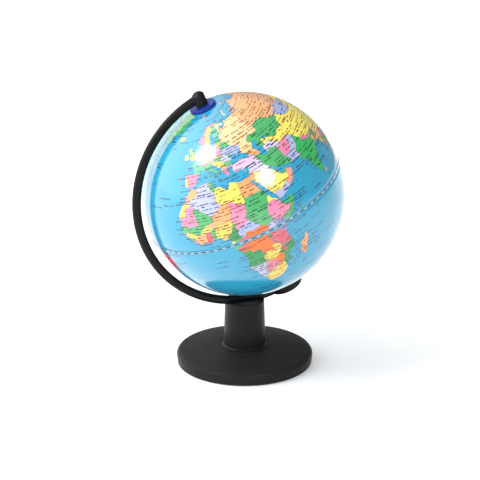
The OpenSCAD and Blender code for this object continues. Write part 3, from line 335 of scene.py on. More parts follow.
COUNTRIES = """
o -17,27.7 -8.7,27.7 -8.7,28.7 -4.5,30.5 -1.2,32.2 -1.8,35.2 -2,38 -12,38;
y -18,20.8 -13,21.3 -12,23.4 -12,26 -8.7,26 -8.7,27.7 -18,27.7;
v -8.7,27.3 -4.8,25 1.2,21.1 3,19 5.8,19.5 12,23.5 10,24.5 9.4,26.2 9.9,30 8,32.5 8.3,37.5 8.3,40
-2.1,37.5 -1.8,35.2 -1.2,32.2 -4.5,30.5 -8.7,28.7;
g 8.3,38.5 7.6,33.5 9.5,30.3 11.5,32.5 11.6,33.2 14,35 12,39;
y 9.5,30.3 9.9,26.5 9.4,26.2 10.2,24.4 12,23.5 14.5,23 16,23.5 24,19.5 25,20 25,32 22,36 12,34
11.5,32.5;
o 25,22 25,31.7 25,34 34.2,33 34.3,31.3 34.9,29.5 36,26 38,22;
p -18,20.8 -18,16 -16.5,16.2 -14.5,16.6 -12.2,14.8 -11.4,15.5 -5.5,15.5 -5.9,19.5 -6.6,25 -4.8,25
-8.7,27.3 -8.7,26 -12,26 -12,23.4 -13,21.3;
g -12.2,14.8 -11.4,12.2 -8.2,10.3 -6.2,10.3 -5.3,11.4 -3,13.6 0,15 3.5,15.4 4.2,16.5 4.2,19.2 3,19
1.2,21.1 -4.8,25 -6.6,25 -5.9,19.5 -5.5,15.5 -11.4,15.5;
o .2,15 2.2,12.3 3.6,11.7 4,13.5 6.8,13.2 10,13.2 13.6,13.7 15.5,17 15.9,20 15.3,23.2 14.5,23 12,23.5
5.8,19.5 4.2,19.2 4.2,16.5 3.5,15.4;
p 13.6,13.7 15,12.2 15.3,10 14,10 15.5,7.6 19,9 22.5,11 22,13 24,15.7 24,19.5 16,23.5 15.3,23.2 15.9,20
15.5,17;
g 24,19.5 24,15.7 22,13 22.9,11 24,8.8 27.5,5.2 30.8,3.6 34,4.2 35.3,5.4 33.9,8 34.3,10.6 36.4,14.3
37,17 38.6,18 40,20 37,22 25,22 25,20;
y 36.4,14.3 40,14.4 42.4,12.5 44,13 40,18 38.6,18 37,17;
p 33.9,8 35.3,5.4 36,4.4 39.5,3.5 42,4.2 45,5 48,8 44,9 42.8,10.9 42.4,12.5 40,14.4 36.4,14.3 34.3,10.6;
o 42.4,12.5 41.8,11 43.2,11.3 44,12;
g 41,-1.7 41,3 42,4.2 45,5 48,8 44,9 42.8,10.9 43.2,11.4 44,13 53,13 52,4 44,-2;
m 34,4.2 36,4.4 39.5,3.5 41.9,4 41,3 41,-1.7 42,-4 39.2,-4.7 37.7,-3.6 34,-1 34,.5 35,1.9;
v 30.8,3.6 34,4.2 35,1.9 34,-1 29.6,-1.3 29.8,.5 31.2,2.2;
r 29.4,-4.5 30.8,-3.3 30.5,-1.1 34,-1 37.7,-3.6 39.2,-4.7 42,-5 42,-10.5 40.4,-10.5 37.5,-11.6
34.9,-11.5 34,-9.5 31,-8.6 29.5,-6.2;
g 29,-1.4 30.6,-1.2 30.8,-3.3 29.4,-4.4 29,-2.8;
n 12,-6 12.9,-4.8 16,-3.6 16.6,-1 18,1.5 18.6,5 22.5,4.2 25.2,5 27.5,5.2 30.8,3.6 31.2,2.2 29.8,.5
29,-1.4 29,-2.8 29.4,-4.5 29.5,-6.2 30.8,-8.3 28.5,-8.5 28.7,-12 29.8,-12.2 29.8,-13.4 27.2,-11.6
24.3,-11 22.2,-11.1 21.8,-7.3 17.5,-8 16.6,-5.9;
r 11.1,-3.9 12.9,-4.8 16,-3.6 16.6,-1 18,1.5 18.6,3.5 16.2,2.2 13.2,2.2 14,1.4 14.4,-1.8 11.5,-2.8;
g 8,-1 9.8,1 11.3,1 11.3,2.3 13.2,2.2 14,1.4 14.4,-1.8 11.5,-2.8 11,-4 8,-2;
y 9,1 11.3,1 11.3,2.3 9,2.3;
d 8.6,4.5 9,6.5 11.2,6.6 13.6,11 14.2,12.6 15.2,10 14,10 15.5,7.6 14.6,5 16.2,2.2 9.6,2.2 8,3.5;
b 14.6,5 15.5,7.6 19,9 22.5,11 24,8.8 27.5,5.2 22.5,4.2 18.6,5 18.6,3.5 16.2,2.2;
z 2.7,6.2 2.8,9 3.6,11.7 4,13.5 6.8,13.2 10,13.2 13.6,13.7 14.2,12.6 13.6,11 11.2,6.6 9,6.5 8.6,4.5 6,3
2.7,4;
g .2,11 2.2,12.3 3.6,11.7 2.8,9 2.7,4 1.2,4 .6,8;
r -3.2,4 -2.8,9.6 -2.9,11 0,11.1 .2,11 .6,8 1.2,5;
y -5.3,11.4 -3,13.6 0,15 2.2,12.3 .2,11 -2.9,11 -2.8,9.7 -5.2,10.3;
o -7.5,3 -8.5,6.5 -8.2,10.3 -6.2,10.3 -5.2,10.3 -2.8,9.7 -3.1,3;
p -12,7 -10.5,8.4 -8.5,6.5 -7.5,3 -12,4;
g -14,8 -12.5,9.8 -10.7,9 -10.5,8.4 -12,7;
y -15.5,10.8 -13.7,12.6 -11.4,12.2 -8.2,10.3 -8,8 -10.5,8.4 -10.7,9 -12.5,9.8 -14,8.5;
g -18,16.2 -14.5,16.6 -12.2,14.8 -11.4,12.2 -13.7,12.6 -18,12.3;
p -18,12.3 -13.7,12.6 -15.5,10.8 -18,10;
d 11,-5.9 16.6,-5.9 17.5,-8 21.8,-7.3 22.2,-11.1 24,-11 24,-13 22,-13 22,-16.2 23.4,-17.6 18.4,-17.4
11,-17.3;
z 22,-13 24,-13 24,-11 27.2,-11.6 29.8,-13.4 29.8,-12.2 28.7,-12 28.5,-8.5 31,-8.6 33,-9.5 33.2,-14
30.2,-15 30.4,-15.9 27,-18 25.3,-17.8 22,-16.2;
r 33,-9.5 34.2,-9.7 35,-12 35.8,-16 35.2,-17.2 34.4,-16 33.2,-14;
d 40.4,-10.5 42,-10.5 43,-16 36,-26 32.8,-26.9 32,-26.5 31.3,-22.4 32.8,-19 32.8,-16.7 30.4,-15.9
30.2,-15 33.2,-14 34.4,-16 35.2,-17.2 35.8,-16 35,-12 34.9,-11.5 37.5,-11.6;
n 25.3,-17.8 27,-18 30.4,-15.9 32.8,-16.7 32.8,-19 31.3,-22.4 29.4,-22.2 27.5,-20.5;
e 20,-22 21,-22 21,-18.3 23.3,-18 25.3,-17.8 27.5,-20.5 29.4,-22.2 26.5,-24.5 23,-25.3 20.7,-26.8
20,-24.8;
f 10,-17.3 18.4,-17.4 23.4,-17.6 25.3,-17.8 23.3,-18 21,-18.3 21,-22 20,-22 20,-28.4 17,-28.9 14,-29;
z 14,-29 17,-28.9 20,-28.4 20,-24.8 20.7,-26.8 23,-25.3 26.5,-24.5 29.4,-22.2 31.3,-22.4 32,-26.5
32.8,-26.9 36,-27 30,-38 14,-38;
o 27,-29.6 28.6,-28.6 29.4,-29.5 28,-30.6;
o 42,-11 52,-11 52,-27 42,-27;
k 25,36 30,35.5 35.8,36 36.7,36.8 42.4,37.1 44.8,37.2 44,39.5 43.6,41.1 41.5,41.5 38,42.5 30,42 28,42
26.4,41.8 26,40.5 25.5,39;
w 35.6,34.5 36.7,36.8 42.4,37.1 44.8,37.2 46,35.8 45.5,33.9 47.8,31 48.6,29.9 46.5,29.1 44.7,29.2
39.2,32.1 36,32.6;
o 34,31.3 34.8,29.4 37,29.6 38,30.5 37,31.5 39.2,32.1 36,32.6 36,34.6 34.5,34.8;
y 34.8,29.4 37,29.6 38,30.5 37,31.5 39.2,32.1 44.7,29.2 46.5,29.1 48.5,28.4 51,25 52.5,23 55.1,22.6
55,20 52,19 47,17 43.2,17.4 42.6,16.5 40,17 36,25;
g 46.5,29.1 48.6,30.2 48.8,28.5 47.7,28.6;
p 50.7,24.5 50.7,26.5 52,26.5 51.4,24.5;
g 51.4,24.2 52.5,23 55.1,22.6 56,24.8 57,26.5 54,26;
c 55.1,22.6 55,20 52,19 53.1,16.6 54,15 62,20 58,27 56,26.6 56.4,24.8 55.8,24.2;
v 42.6,16.5 43.2,17.4 47,17 52,19 53.1,16.6 52,14 44,11.8 41.5,15;
g 44.1,39.6 44.8,37.2 46,35.8 45.5,33.9 47.8,31 48.6,29.9 51,27 56,26.2 61.6,24.5 61.7,25.3 63.2,27.2
60.9,29.8 61,34 61.2,36.6 57,38.2 54,37.3 53,38 49,38.4 48,39.6;
p 60.9,29.8 61,34 61.2,35.6 64.5,36.3 67,37.3 71.5,37.9 74.8,37.3 71.5,36.3 71,34 69.5,31.8 66.3,29.8;
v 61.7,24 61.7,25.3 63.2,27.2 60.9,29.8 66.3,29.8 69.5,31.8 71,34 71.5,36.3 74.8,37 77.5,35.4 75,32.5
73.8,30 70,27.8 71,24.4 68.2,23.5 66,24;
w 52,42 53,41.6 56,41.2 57.1,41.3 60,42.1 62.5,40 66.5,37.4 64.5,36.3 61.2,35.6 61.2,36.6 57,38.2
54,37.3 52,38;
y 56,45 56,41.2 57.1,41.3 60,42.1 62.5,40 66.5,37.4 68,37.2 71.5,37.9 74.8,37.3 73.8,39.5 80,42 79.5,43
73.5,43 71,42.3 68,41 66,42 62,43.5 58.5,45.6;
g 46.5,48.5 49.2,46.3 49,44 52,42 56,41.3 56,45 58.5,45.6 62,43.5 66,42 68,41 71,42.3 73.5,43 79.5,43
80.3,45 83,47.2 85.5,47 87.3,49.1 80,50.8 76.5,54 70,55.3 61,54 61,50.8 55,50.7 51,51.7 47,49.2;
o 40,43.5 43.5,42.9 46.5,42 48.5,41.8 50,40.3 49,38.4 48,39.6 46.5,38.9 44.5,39.8 43.6,41.1 41.5,41.5;
l 27.3,57.5 28,56 31,55 32.5,52.3 34,51.5 35.5,50.3 40,49.6 38.3,47.2 37,45 40,43.5 43.5,42.9 46.5,42
48.5,41.8 49,45 49.2,46.3 46.5,48.5 47,49.2 51,51.7 55,50.7 61,50.8 61,54 61,78 30,78 29,69.5 29.9,67.7
29.1,66.9 30,63.8 31.5,62.6 27.8,60.5 28,59.3;
s 61,50.8 61,54 70,55.3 76.5,54 80,50.8 87.3,49.1 92,50.8 98,50 98,52 102.2,51.4 107,49.8 114,50.2
116.7,49.8 119.7,53.3 126,52.9 127.5,49.8 131,47.7 135,48.4 133,45 131,43.4 130.7,42.3 133,41 141,46
147,45 163,50 180,60 180,84 61,84;
s -180,60 -169,60 -169,70 -180,74;
b 87.8,49.1 92,50.8 98,50 98,52 102.2,51.4 107,49.8 114,50.2 116.7,49.8 119.7,47.2 115.5,45.3 111.8,44
111,42.6 105,41.7 97,42.7 95,44.4 91,45.2 90.8,47;
y 73.8,39.5 74.8,37.2 77.5,35.4 79,32.5 81,30.2 86,28 89,27.3 92,27.8 97.3,28.3 98.7,25.8 97.7,24
100,21.5 102,22.4 105.3,23.2 107,21.9 108.3,21.4 108,17 119,20 119,25 125,30 124.3,39.9 128,41.6
130.7,42.4 131,43.4 133,45 135,48.4 131,47.7 127.5,49.8 126,52.9 119.7,53.3 116.7,49.8 119.7,47.2
115.5,45.3 111.8,44 111,42.6 105,41.7 97,42.7 95,44.4 91,45.2 90.8,47 87.8,49.1 85.5,47 83,47.2 80.3,45
80,42;
i 68.2,23.5 71,24.4 70,27.8 73.8,30 75,32.5 77.5,35.4 79,32.5 81,30.2 88,27 89,27.3 92,27.8 97.3,28.3
94.7,25 93.2,22.5 91.5,24 92.3,25 89.8,26 88.2,24.4 89,21 84,15 80,5 74,8 66,20;
p 80.2,30.4 81.5,30.2 88,27.9 92,27.8 92,26.9 88,26.4 84,27.3 80.2,28.8;
o 88.2,24.4 89.8,26 92.3,25 91.5,24 92.5,21 89,21.5;
o 79,10 82.5,10 82.5,5 79,5;
s 92.3,20 93.2,22.5 94.7,25 97.3,28.3 98.7,25.8 97.7,24 100,21.5 101,21.5 97.5,18.5 98.8,16 99.5,12
98.7,9.8 96,14 93,15;
g 97.5,18.5 100.3,20.3 101.3,19.5 101,17.5 104,18.3 105.5,15 102.5,13.6 102.8,11.6 100.8,12.5 101,7
102.1,6.2 100,6.2 98,8 98.8,10 99.5,12 98.8,16;
p 100.3,20.3 102,22.4 104.5,20.5 107.5,15.5 106,14 105.5,15 104,18.3 101,17.5 101.3,19.5;
y 102.5,13.6 105.5,14.3 107.5,14 106,11 104.4,10.3 102.8,11.6;
r 102,22.4 105.3,23.2 107,21.9 108.5,21.5 110.5,14 110,10 105,8 104.4,10.4 106,11 107.5,14 107.5,15.5
104.5,20.5;
y 100,6.2 102.1,6.2 104.8,3 104,1 101,2;
p 124.3,39.9 128,41.6 130.7,42.4 131,41 128.5,38.5 126.5,37.8 124,38;
y 128.5,38.5 126.5,37.8 125,37 125,33 130.5,34;
k 128.5,30 141,33 147,43 146,45.6 141,46 138,40 130,35;
o 119,21 119,26 123,26 122,21;
o 94,6.5 104,.8 109,1.8 115,1 118,4 132,3 141,0 141,-9.5 120,-12 104,-9;
y 109,1.9 112,1.3 115,1.6 117.5,4.2 119.5,4.5 118,8 108,3;
g 117,7 120,5 127,5 127,19 119,19.5;
g 141,0 141,-9.5 155,-12 152,0;
p 112,-10 129,-10 129,-36 112,-36;
y 129,-10 138,-10 138,-26 129,-26;
g 129,-26 141,-26 141,-40 129,-36;
o 138,-9.9 155,-9.9 155,-29 141,-29 141,-26 138,-26;
v 141,-29 155,-28.5 153,-39.8 141,-39.8;
r 143,-40 150,-40 150,-45 143,-45;
y 165,-33 180,-33 180,-48 165,-48;
p -9.5,43.9 -9.5,42 -8.2,42 -6.5,41.8 -7,40 -7.4,37.5 -7,36 -5,35.9 0,36 4,40 3.3,42.4 .7,42.8 -1.8,43.4
-3,44;
y -10,42 -8.2,42 -6.5,41.8 -7,40 -7.4,37 -10,36.5;
t -5.5,48.6 -2,43.3 .7,42.8 3.2,42.4 4,42.8 9.8,41 9.8,43.2 7.6,43.7 7,45.9 7.6,47.6 8.2,49 4.5,50
2.6,51.1 0,50.3 -2.5,50;
o 2.6,51.1 4.5,50 6.2,49.5 6.1,51 7,53.6 4,53.6;
y 7,53.6 6.1,51 6.2,49.5 8.2,49 7.6,47.6 10.5,47.5 13,47.6 13.8,48.8 12.2,50.3 14.8,50.9 14.4,54 11,54.5
8.5,55;
r 6,46.2 7.6,47.6 10.5,47 9,46 7,45.9;
g 7,45.9 9,46 10.5,47 13.7,46.6 13.8,45.6 12.8,44.8 19,40.5 18,36 12,36 8,38.6 8,41.1 10,41.1 9.8,43.4
7.5,43.8;
p 9.6,47.4 13,47.6 13.8,48.8 17,48.8 16.5,46.8 13.7,46.5 10.5,47;
o 12.2,50.3 14.8,50.9 18.8,49.6 22.5,49.1 22,48.3 17,48 17,48.8 13.8,48.8;
p 14.2,54.2 14.8,50.9 18.8,49.6 22.5,49.1 24,50.8 23.5,54 19.8,54.4 18,55;
y 13.5,45.5 16.5,46.6 19,45.9 22.7,44.5 22.5,42.3 20.5,41.8 19.3,42 15,43;
g 16.5,46.6 17,48 22,48.3 22.8,47.9 21,46.2 19,45.9;
v 22.8,47.9 21,46.2 22.7,44.5 28.6,43.8 30,45.3 28.2,45.5 27,48.2;
g 22.7,44.2 28.6,43.8 28,42 26.4,41.8 23,41.4 22.5,42.3;
p 20,39.6 21,40.8 23,41.4 26.4,41.8 26,40.5 24.5,38 28,35.8 23,34.4 20.5,37;
o 19.2,42.4 20.5,41.8 21,40.8 20,39.6 19,40.5;
y 32,36 34.4,36 34.4,34.4 32,34.4;
b 22.3,48.5 24,50.8 23.8,51.7 31,51.6 32.5,52.3 34,51.5 35.5,50.3 40,49.6 38.3,47.2 35.5,46 36.6,45.2
34,44 32,45.5 30,45.3 28.2,45.5 29,46.4 27,48.2;
g 27,48.2 29,47.8 30,46.4 28.2,45.5;
g 23.5,54 23.8,51.7 31,51.6 32.5,53.3 31,55 28,56 26.6,55.6;
o 21,55.3 23.5,54 26.6,55.6 26,56.2 20.8,56.2;
g 20.8,56.2 26,56.2 28,56 27.3,57.5 28.2,59.4 23,59.6 21,58;
t 20,59.7 23,59.6 27.8,60.5 31.5,62.6 30,63.8 29.1,66.9 28.5,69.5 26,69.8 23.7,68.7 20.6,69 23.8,67.5
24.1,65.8 20.5,63;
y 24.1,65.8 23.8,67.5 20.6,69 18,68.4 15.5,66.3 14,64.2 12.2,62 12.3,60 11.2,58.9 12.7,55.2 20,56
19.5,60.3;
p 4,58 9,57.8 11.2,58.9 12.3,60 12.2,62 14,64.2 15.5,66.3 18,68.4 20.6,69 23.7,68.7 26,69.8 28.5,69.5
31.5,69.5 31,72 15,71 3,62;
o 7.8,55 8.5,55 11,54.5 13,54.8 12.8,56.2 11,58 7.5,57.8;
h -7,49.7 -1,50.3 2,51.1 3,53 -1,61 -9,60;
y -11,51 -5.9,51.5 -5.6,55 -8,56 -11,55;
h -25,63 -13,63 -13,67 -25,67;
g -75,75 -53,59 -40,59 -10,82 -30,84 -62,84;
p 9,76 28,77 28,81 9,81;
t -170,60 -141,60 -141,49 -124,48.5 -95,49 -89,48 -84.5,46.5 -82.5,42 -79,42.8 -76.5,44.2 -71.5,45.1
-69,47.4 -67.8,45.8 -67,44.8 -66,43 -52,46 -55,60 -62,62 -62,67 -79,74 -72,77 -60,82.5 -75,84 -130,76
-141,70;
y -180,50 -130,54.4 -135.5,59.7 -141,60.4 -141,72 -170,72;
y -125.5,48.4 -123.2,49 -95,49 -89,48 -84.5,46.5 -82.5,42 -79,42.8 -76.5,44.2 -71.5,45.1 -69,47.4
-67.8,45.8 -67,44.8 -69,40 -79,25 -97,25.8 -99.5,27.5 -103,29 -106.5,31.8 -111,31.3 -114.8,32.5
-118,32.4;
g -118,32.6 -114.8,32.5 -111,31.3 -106.5,31.8 -103,29 -99.5,27.5 -97,25.8 -86,22 -88.5,18 -91,17.8
-92.2,14.4 -97,14 -118,28;
o -92.2,14.4 -91,17.8 -88.5,16.5 -89.5,14.3 -90,13.2;
v -88.5,18 -91,17.8 -88.5,16.2 -87.5,17;
y -89.5,14.3 -88.5,16.5 -84,16.5 -83,15 -87.5,12.8;
g -87.5,12.8 -83,15 -83,10.8 -85.8,11.1 -87.9,12.6;
r -85.8,11.1 -83,10.8 -82.6,8 -86,9;
o -82.9,7 -82.6,9.8 -77.2,9.5 -77.2,7;
r -86,21 -81,24 -73.5,20.2 -78,19.3;
g -75,17.5 -71.7,17.5 -71.7,20.2 -75,20.2;
p -71.7,17.5 -68,18 -68,20.2 -71.7,20.2;
r -52,4.6 -50,6 -33,-4 -33,-10 -48,-30 -53.4,-34.2 -57.6,-30.2 -53.8,-27.2 -54.6,-25.6 -54.2,-24
-55.6,-22.3 -57.9,-22.1 -58.2,-20 -57.6,-18 -60.2,-16.2 -60.5,-13.8 -65,-12 -65.4,-9.8 -70.5,-11
-70.6,-9.5 -73.2,-9.4 -73.7,-7.3 -70,-4.3 -69.5,1.2 -67,2 -63.4,2.2 -64,4.2 -61,4.6 -60,5.2 -59.8,2
-56.5,2 -54.6,2.4;
y -67,2 -69.5,1.2 -69.9,-.4 -70,-4.3 -72.5,-2.4 -75.4,0 -79,1.4 -79,8 -77.3,8.6 -74,12 -71.8,11.6
-72.8,9.4 -72.2,7.2 -67.4,6.2 -67.8,4;
v -67,2 -67.8,4 -67.4,6.2 -72.2,7.2 -72.8,9.4 -71.8,11.6 -71,13 -61,11.5 -59.8,8.4 -61.2,6 -61,4.6
-64,4.2 -63.4,2.2;
g -59.8,8.4 -61.2,6 -60,5.2 -59.8,2 -57,2 -57.8,4.6 -57.2,6.6;
o -57.2,6.6 -57.8,4.6 -57,2 -54.6,2.4 -54.4,4.6 -54,6.6;
p -54,6.6 -54.4,4.6 -54.6,2.4 -52,4.6 -51,5.4;
g -82,-1 -80.2,-3.6 -79,-5 -77.8,-3 -75.4,0 -79,1.4;
o -82,-4 -80.2,-3.6 -79,-5 -77.8,-3 -75.4,0 -72.5,-2.4 -70,-4.3 -73.7,-7.3 -73.2,-9.4 -70.6,-9.5
-68.8,-12.4 -69.4,-15.6 -69.4,-17.5 -70.4,-18.4 -78,-18 -84,-6;
g -69.4,-15.6 -68.8,-12.4 -70.6,-11 -65.4,-9.8 -65,-12 -60.5,-13.8 -60.2,-16.2 -57.6,-18 -58.2,-20
-62.3,-20.6 -62.8,-22 -67.8,-22.8 -69.4,-17.5;
v -58.2,-20 -62.3,-20.6 -62.6,-22.2 -57.6,-25.4 -58.6,-27.3 -55.8,-27.4 -54.6,-25.6 -54.2,-24
-55.6,-22.3 -57.9,-22.1;
y -62.8,-22 -62.6,-22.2 -57.6,-25.4 -58.6,-27.3 -55.8,-27.4 -53.8,-27.2 -57.6,-30.2 -58.4,-34 -55,-37
-62,-44 -64,-55.6 -68.6,-55.2 -68.6,-52.4 -72.2,-51.8 -71.8,-44.6 -70.4,-37 -69.8,-33 -69,-27
-67.8,-22.8 -66,-22;
p -67.8,-22.8 -69,-27 -69.8,-33 -70.4,-37 -71.8,-44.6 -72.2,-51.8 -68.6,-52.4 -68.6,-56.5 -76,-56
-78,-45 -74,-30 -72,-18.2 -70.4,-18.4 -69.4,-17.5;
o -57.6,-30.2 -53.4,-34.2 -52,-36 -58.4,-34.2;
a -180,-62 180,-62 180,-88 -180,-88;
"""


def loops(text):
    """Each outline as (ink, corners). A semicolon ends it, and a letter that starts it is its ink."""
    for row in text.split(";")[:-1]:
        words = row.split()
        ink = words.pop(0) if "," not in words[0] else ""
        yield ink, [tuple(float(v) for v in w.split(",")) for w in words]


# Longest side of an outline, and spacing of the print's points, in degrees
STEP = 2.5
# Latitude of the rim around each pole's hole
TOP_LAT = math.degrees(math.acos(HOLE_R / GLOBE_R))


def short_steps(loop):
    """The outline with points added, so that no side is longer than STEP on the ball."""
    out = []
    for a, b in zip(loop, loop[1:] + loop[:1]):
        k = math.cos(math.radians((a[1] + b[1]) / 2))
        n = max(1, math.ceil(math.hypot((b[0] - a[0]) * k, b[1] - a[1]) / STEP))
        out += [(a[0] + (b[0] - a[0]) * i / n, a[1] + (b[1] - a[1]) * i / n) for i in range(n)]
    return out


# Half widths of the printed lines, in metres
COAST_HALF = 0.00016
BORDER_HALF = 0.00013
GRID_HALF = 0.00009
# Shortest side that gets a line, in degrees
SHORT_SIDE = 0.02
# Labels: gap between dashes and spacing of the rows, in degrees, and chances on land, near it and at sea
DASH_GAP = 0.3
LABEL_ROWS = 1.75
LABEL_ODDS = (0.74, 0.68, 0.03)
MARKS = ["none", "grid", "border", "coast", "line"]
INK_OF = [ink for ink, _ in loops(COUNTRIES)]


class Sheet:
    """Outlines in longitude and latitude that are laid over one another and cut to triangles."""

    def __init__(self):
        self.points, self.edges, self.loops = [], [], []
        for _, loop in loops(COASTS):
            self.add("land", loop)
        for _, loop in loops(LAKES):
            self.add("lake", loop)
        for i, (_, loop) in enumerate(loops(COUNTRIES)):
            self.add(i, loop)

    def add(self, name, loop):
        self.loops.append((name, loop))
        fine = short_steps(loop)
        first, n = len(self.points), len(fine)
        self.points += [Vector((round(x, 2), round(y, 2))) for x, y in fine]
        self.edges += [(first + i, first + (i + 1) % n) for i in range(n)]

    def cut(self):
        """Corners, triangles and the middle of each triangle."""
        v, _, f, _, _, _ = geometry.delaunay_2d_cdt(self.points, self.edges, [], 0, 1e-3)
        co = np.array([tuple(p) for p in v])
        return co, f, co[np.array([tuple(t) for t in f])].mean(axis=1)

    def sort(self, middles):
        """For each middle: the country's number, -1 on other land or -2 at sea, and its mark."""
        order = np.argsort(middles[:, 1], kind="stable")
        ys = middles[order, 1]
        land = np.zeros(len(middles), bool)
        country = np.full(len(middles), -1)
        mark = np.zeros(len(middles), int)
        for name, loop in self.loops:
            low, high = min(p[1] for p in loop), max(p[1] for p in loop)
            ids = order[np.searchsorted(ys, low):np.searchsorted(ys, high)]
            x, y = middles[ids, 0], middles[ids, 1]
            inside = np.zeros(len(ids), bool)
            for (x1, y1), (x2, y2) in zip(loop, loop[1:] + loop[:1]):
                if y1 != y2:
                    inside ^= ((y1 > y) != (y2 > y)) & (x < (x2 - x1) * (y - y1) / (y2 - y1) + x1)
            ids = ids[inside]
            if name in ("land", "lake"):
                land[ids] = name == "land"
            elif name in MARKS:
                mark[ids] = np.maximum(mark[ids], MARKS.index(name))
            else:
                country[ids] = name
        country[~land] = -2
        return country, mark


def ribbon(a, b, half):
    """A thin rectangle in longitude and latitude along the line from a to b, half in metres."""
    k = max(math.cos(math.radians((a[1] + b[1]) / 2)), 0.02)
    w = math.degrees(half / GLOBE_R)
    dx, dy = (b[0] - a[0]) * k, b[1] - a[1]
    n = math.hypot(dx, dy)
    ux, uy = dx / n * w, dy / n * w
    return [
        (a[0] - uy / k, a[1] + ux),
        (a[0] + uy / k, a[1] - ux),
        (b[0] + uy / k, b[1] - ux),
        (b[0] - uy / k, b[1] + ux),
    ]


def chance(*seed):
    """A number from 0 to 1 that depends only on the seed."""
    x = math.sin(sum(s * k for s, k in zip(seed, (12.9898, 78.233, 37.719, 94.673)))) * 43758.5453
    return x - math.floor(x)


def on_sheet(loop):
    return all(-179.9 < x < 179.9 and -TOP_LAT + 0.1 < y < TOP_LAT - 0.1 for x, y in loop)


def add_borders(sheet, co, tris, country):
    """Thin lines where the country changes and along the coasts."""
    sides = {}
    for i, tri in enumerate(tris):
        for a, b in zip(tri, [*tri[1:], tri[0]]):
            sides.setdefault((min(a, b), max(a, b)), []).append(i)
    for (a, b), owners in sorted(sides.items()):
        if len(owners) != 2 or country[owners[0]] == country[owners[1]]:
            continue
        if math.dist(co[a], co[b]) < SHORT_SIDE:
            continue
        wet = -2 in (country[owners[0]], country[owners[1]])
        strip = ribbon(co[a], co[b], COAST_HALF if wet else BORDER_HALF)
        if on_sheet(strip):
            sheet.add("coast" if wet else "border", strip)


def label_rows():
    """Places for labels: rows of dashes, as (longitude, latitude, dash height, dash lengths)."""
    row, lat = 0, -72.0
    while lat < 80:
        k = math.cos(math.radians(lat))
        lon = -178.0 + chance(row, 3) * 3
        while lon < 172:
            size = 0.44 + 0.28 * chance(lon, lat)
            words = [0.9 + 2.3 * chance(lon, lat, j) for j in range(1 + int(chance(lon, lat, 5) * 3.2))]
            yield lon, lat + 1.1 * chance(lat, lon, 7) - 0.55, size, words
            lon += (sum(words) + DASH_GAP * len(words) + 0.6 + chance(lat, lon) * 0.9) / k
        lat += LABEL_ROWS
        row += 1


def add_labels(sheet, labels):
    """Rows of dashes: many on land, fewer along the coasts and hardly any on the open sea."""
    spots = []
    for lon, lat, size, words in labels:
        k = math.cos(math.radians(lat))
        ring = ((0, 0), (sum(words) / k, 0), (4.5 / k, 0), (-6 / k, 0), (0, 4), (0, -4))
        spots += [(lon + dx, lat + dy) for dx, dy in ring]
    country, _ = sheet.sort(np.array(spots))
    for n, (lon, lat, size, words) in enumerate(labels):
        at = country[n * 6:n * 6 + 6]
        land = at[0] != -2 or at[1] != -2
        odds = LABEL_ODDS[0 if land else 1 if (at != -2).any() else 2]
        if chance(lon, lat, 9) > odds or abs(lat) < 1.5:
            continue
        k = math.cos(math.radians(lat))
        x = lon
        for j, length in enumerate(words):
            h = size * (0.8 if chance(lon, j, lat) < 0.6 else 1.15)
            w = length / k
            box = [(x, lat), (x + w, lat), (x + w, lat + h), (x, lat + h)]
            if on_sheet(box):
                sheet.add("line", box)
            x += w + DASH_GAP / k


def add_graticule(sheet):
    """Fine meridians and parallels every 15 degrees."""
    half = math.degrees(GRID_HALF / GLOBE_R)
    for lon in range(-165, 180, 15):
        for lat in range(-75, 75, 15):
            w = half / max(math.cos(math.radians(lat)), math.cos(math.radians(lat + 15)))
            sheet.add("grid", [(lon - w, lat), (lon + w, lat), (lon + w, lat + 15), (lon - w, lat + 15)])
    for lat in [x for x in range(-75, 90, 15) if x]:
        for lon in range(-180, 180, 15):
            box = [(lon, lat - half), (lon + 15, lat - half), (lon + 15, lat + half), (lon, lat + half)]
            sheet.add("grid", box)


def add_rows(sheet):
    """Even points that keep the triangles close to the ball, and edges along the print's rims."""
    rows = int(math.ceil(TOP_LAT / STEP))
    for j in range(-rows, rows + 1):
        y = max(-TOP_LAT, min(TOP_LAT, j * STEP))
        n = max(48, int(round(360 / STEP * math.cos(math.radians(y)) / 12 + 0.5)) * 12)
        first = len(sheet.points)
        sheet.points += [Vector((-180 + 360 * i / n, y)) for i in range(n + 1)]
        if j in (-rows, 0, rows):
            sheet.edges += [(first + i, first + i + 1) for i in range(n)]
    first = len(sheet.points)
    sheet.points += [Vector((x, y)) for x in (-180, 180) for y in (-TOP_LAT, TOP_LAT)]
    sheet.edges += [(first, first + 1), (first + 2, first + 3)]
    for p in list(sheet.points):
        if abs(abs(p.x) - 180) < 1e-6:
            sheet.points.append(Vector((-p.x, p.y)))


def build_map():
    """Corners in longitude and latitude, and the print's triangles as (corners, ink, in the north half)."""
    rough = Sheet()
    co, tris, middles = rough.cut()
    country, _ = rough.sort(middles)
    whole = Sheet()
    add_borders(whole, co, tris, country)
    add_labels(whole, list(label_rows()))
    add_graticule(whole)
    add_rows(whole)
    co, tris, middles = whole.cut()
    country, mark = whole.sort(middles)
    out = []
    for tri, (x, y), c, m in zip(tris, middles, country, mark):
        ys = co[list(tri), 1]
        if abs(x) > 180 or abs(y) > TOP_LAT or ys.max() - ys.min() > 3 * STEP:
            continue
        ink = "sea" if c == -2 else "h" if c == -1 else INK_OF[c]
        if MARKS[m] == "line":
            ink = "brown" if ink in WARM_INKS else "moss" if ink in GREEN_INKS else "line"
        elif MARKS[m] == "coast" or MARKS[m] == "border" and ink != "sea":
            ink = MARKS[m]
        elif MARKS[m] == "grid" and ink == "sea":
            ink = "grid"
        out.append((tri, ink, y > 0))
    return co, out


